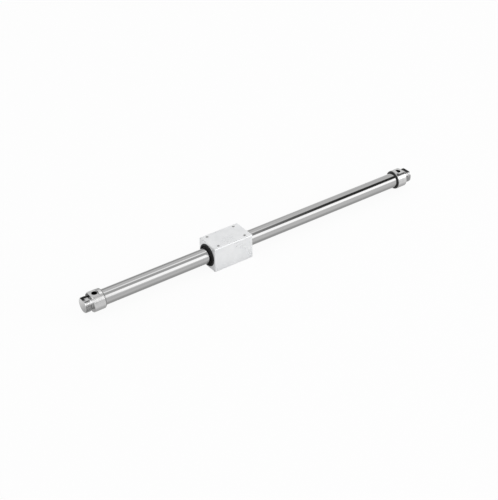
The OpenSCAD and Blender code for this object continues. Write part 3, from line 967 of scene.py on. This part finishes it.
def sweep(triangle, pitch, turns, steps):
    """Winds a triangle along Z and closes its two ends, with its faces outwards."""
    modify(triangle, "SCREW", axis="Z", screw_offset=pitch, iterations=turns, steps=steps,
           render_steps=steps, use_merge_vertices=False)
    bpy.ops.object.mode_set(mode="EDIT")
    bpy.ops.mesh.select_all(action="SELECT")
    bpy.ops.mesh.fill_holes(sides=3)
    bpy.ops.mesh.select_all(action="SELECT")
    bpy.ops.mesh.quads_convert_to_tris()
    bpy.ops.mesh.normals_make_consistent(inside=False)
    bpy.ops.object.mode_set(mode="OBJECT")


def thread_cutter(name, root, pitch, turns, steps, pointing):
    """A V-shaped helix along +Z from the origin, its point at the radius root."""
    size = CUTTER_SHARE * pitch
    middle = root - pointing * size
    bpy.ops.object.select_all(action="DESELECT")
    bpy.ops.mesh.primitive_circle_add(
        vertices=3, radius=size, fill_type="NGON", location=(middle, 0, 0),
        rotation=(math.pi / 2, pointing * math.pi / 2, 0),
    )
    cutter = bpy.context.object
    cutter.name = name
    bpy.ops.object.transform_apply(location=True, rotation=True, scale=True)
    bpy.ops.object.mode_set(mode="EDIT")
    bpy.ops.mesh.select_all(action="SELECT")
    bpy.ops.mesh.delete(type="ONLY_FACE")
    bpy.ops.object.mode_set(mode="OBJECT")
    sweep(cutter, pitch, turns, steps)
    return cutter


print("thread cutter ready")

# %% [markdown]
# A cutter is turned to its hole or nose, and taken out of the piece by an exact boolean.


# %% Placing and cutting
def put(obj, direction, at):
    """Turns obj so that its +Z runs along direction, moves it to a point and applies both."""
    obj.rotation_mode = "QUATERNION"
    obj.rotation_quaternion = Vector(direction).to_track_quat("Z", "Y")
    obj.location = at
    pick(obj)
    bpy.ops.object.transform_apply(location=True, rotation=True, scale=True)


def cut(obj, cutter):
    """Takes the cutter's shape out of obj, and the cutter away."""
    modify(obj, "BOOLEAN", operation="DIFFERENCE", solver="EXACT", object=cutter)
    bpy.data.objects.remove(cutter)


print("cutting tools ready")

# %% [markdown]
# A solid's mesh is loose triangles, so a copy of it is joined into one skin before it is cut. Its
# normals, set for the plain shape, are cleared, and the finished piece is smoothed anew.


# %% Copying a solid
WELD = 0.001 * MM
CREASE = math.radians(32)


def solid_copy(node, name):
    """A free copy of a solid with its loose triangles joined into one skin."""
    piece = bpy.data.objects.new(name, frame["nodes"][node].data.copy())
    bpy.context.scene.collection.objects.link(piece)
    pick(piece)
    bpy.ops.object.mode_set(mode="EDIT")
    bpy.ops.mesh.select_all(action="SELECT")
    bpy.ops.mesh.customdata_custom_splitnormals_clear()
    bpy.ops.mesh.remove_doubles(threshold=WELD)
    bpy.ops.object.mode_set(mode="OBJECT")
    return piece


def smooth(obj):
    """Smooth shading with crisp corners."""
    pick(obj)
    bpy.ops.object.shade_smooth_by_angle(angle=CREASE)


print("copying tools ready")

# %% [markdown]
# ## Head covers
#
# The nose carries a fine mounting thread, 26 mm across with 1.5 mm pitch, which runs out in the
# relief beside the shoulder. A bump could draw its lines, but the nose's outline shows the ridges,
# so they are cut.

# %% Nose thread
NOSE_PITCH = 1.5 * MM
NOSE_DEPTH = 0.92 * MM
NOSE_TURNS = 9
NOSE_STEPS = 72
RUN_OUT = 10.9 * MM

cover_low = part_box("left_head_cover")[0]
nose_radius = mounts["left_nose"]["dims"]["r_mm"] * MM
left_cover = solid_copy("left_head_cover", "left_cover")
nose_thread = thread_cutter("nose_thread", nose_radius - NOSE_DEPTH, NOSE_PITCH, NOSE_TURNS,
                            NOSE_STEPS, -1)
put(nose_thread, (1, 0, 0), (cover_low.x + RUN_OUT - NOSE_TURNS * NOSE_PITCH, 0, 0))
cut(left_cover, nose_thread)
print("nose thread from", round(cover_low.x, 4))

# %% [markdown]
# The air port has a small pipe thread. Its cutter starts a little above the flat, so the thread
# runs out through the port's chamfer.

# %% Port thread
PORT_PITCH = 0.907 * MM
PORT_DEPTH = 0.56 * MM
PORT_TURNS = 8
PORT_STEPS = 48
ABOVE_FLAT = 0.8 * MM

port = mounts["left_port"]
port_radius = port["dims"]["r_mm"] * MM
port_top = port["pos_m"][2] + port["dims"]["length_mm"] * MM / 2
port_thread = thread_cutter("port_thread", port_radius + PORT_DEPTH, PORT_PITCH, PORT_TURNS,
                            PORT_STEPS, 1)
port_start = port_top + ABOVE_FLAT - PORT_TURNS * PORT_PITCH
put(port_thread, (0, 0, 1), (port["pos_m"][0], 0, port_start))
cut(left_cover, port_thread)
smooth(left_cover)
coat_with(left_cover, "cover_alloy")
print("port thread down from", round(port_top, 4))

# %% [markdown]
# The left cover is cut once, and the right one is the same piece turned round, as on the real
# product.

# %% Both covers
pick(left_cover)
bpy.ops.object.duplicate()
right_cover = bpy.context.object
right_cover.name = "right_cover"
right_cover.rotation_euler = (0, 0, math.pi)
pick(right_cover)
bpy.ops.object.transform_apply(location=True, rotation=True, scale=True)
for cover, node in ((left_cover, "left_head_cover"), (right_cover, "right_head_cover")):
    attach(cover, "barrel")
    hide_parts(node)
    print(cover.name, len(cover.data.polygons), "faces")

# %% [markdown]
# ## Carriage block
#
# Four tapped holes in the top face take the load plate's screws. Their threads are cut with one
# joined cutter, because each boolean costs a moment.

# %% Tapped block
TAP_PITCH = 0.8 * MM
TAP_DEPTH = 0.4 * MM
TAP_TURNS = 8
TAP_STEPS = 32
ABOVE_TOP = 0.6 * MM

tapped_block = solid_copy("carriage_block", "tapped_block")
tap_start = block_high.z + ABOVE_TOP - TAP_TURNS * TAP_PITCH
taps = []
for side_x in (-1, 1):
    for side_y in (-1, 1):
        tap = thread_cutter("tap", hole_radius + TAP_DEPTH, TAP_PITCH, TAP_TURNS, TAP_STEPS, 1)
        at = (carriage_middle.x + side_x * half_x, side_y * half_y, tap_start)
        put(tap, (0, 0, 1), at)
        taps.append(tap)
pick(*taps)
bpy.ops.object.join()
cut(tapped_block, bpy.context.object)
smooth(tapped_block)
coat_with(tapped_block, "block_finish")
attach(tapped_block, "carriage")
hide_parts("carriage_block")
print(tapped_block.name, len(tapped_block.data.polygons), "faces")
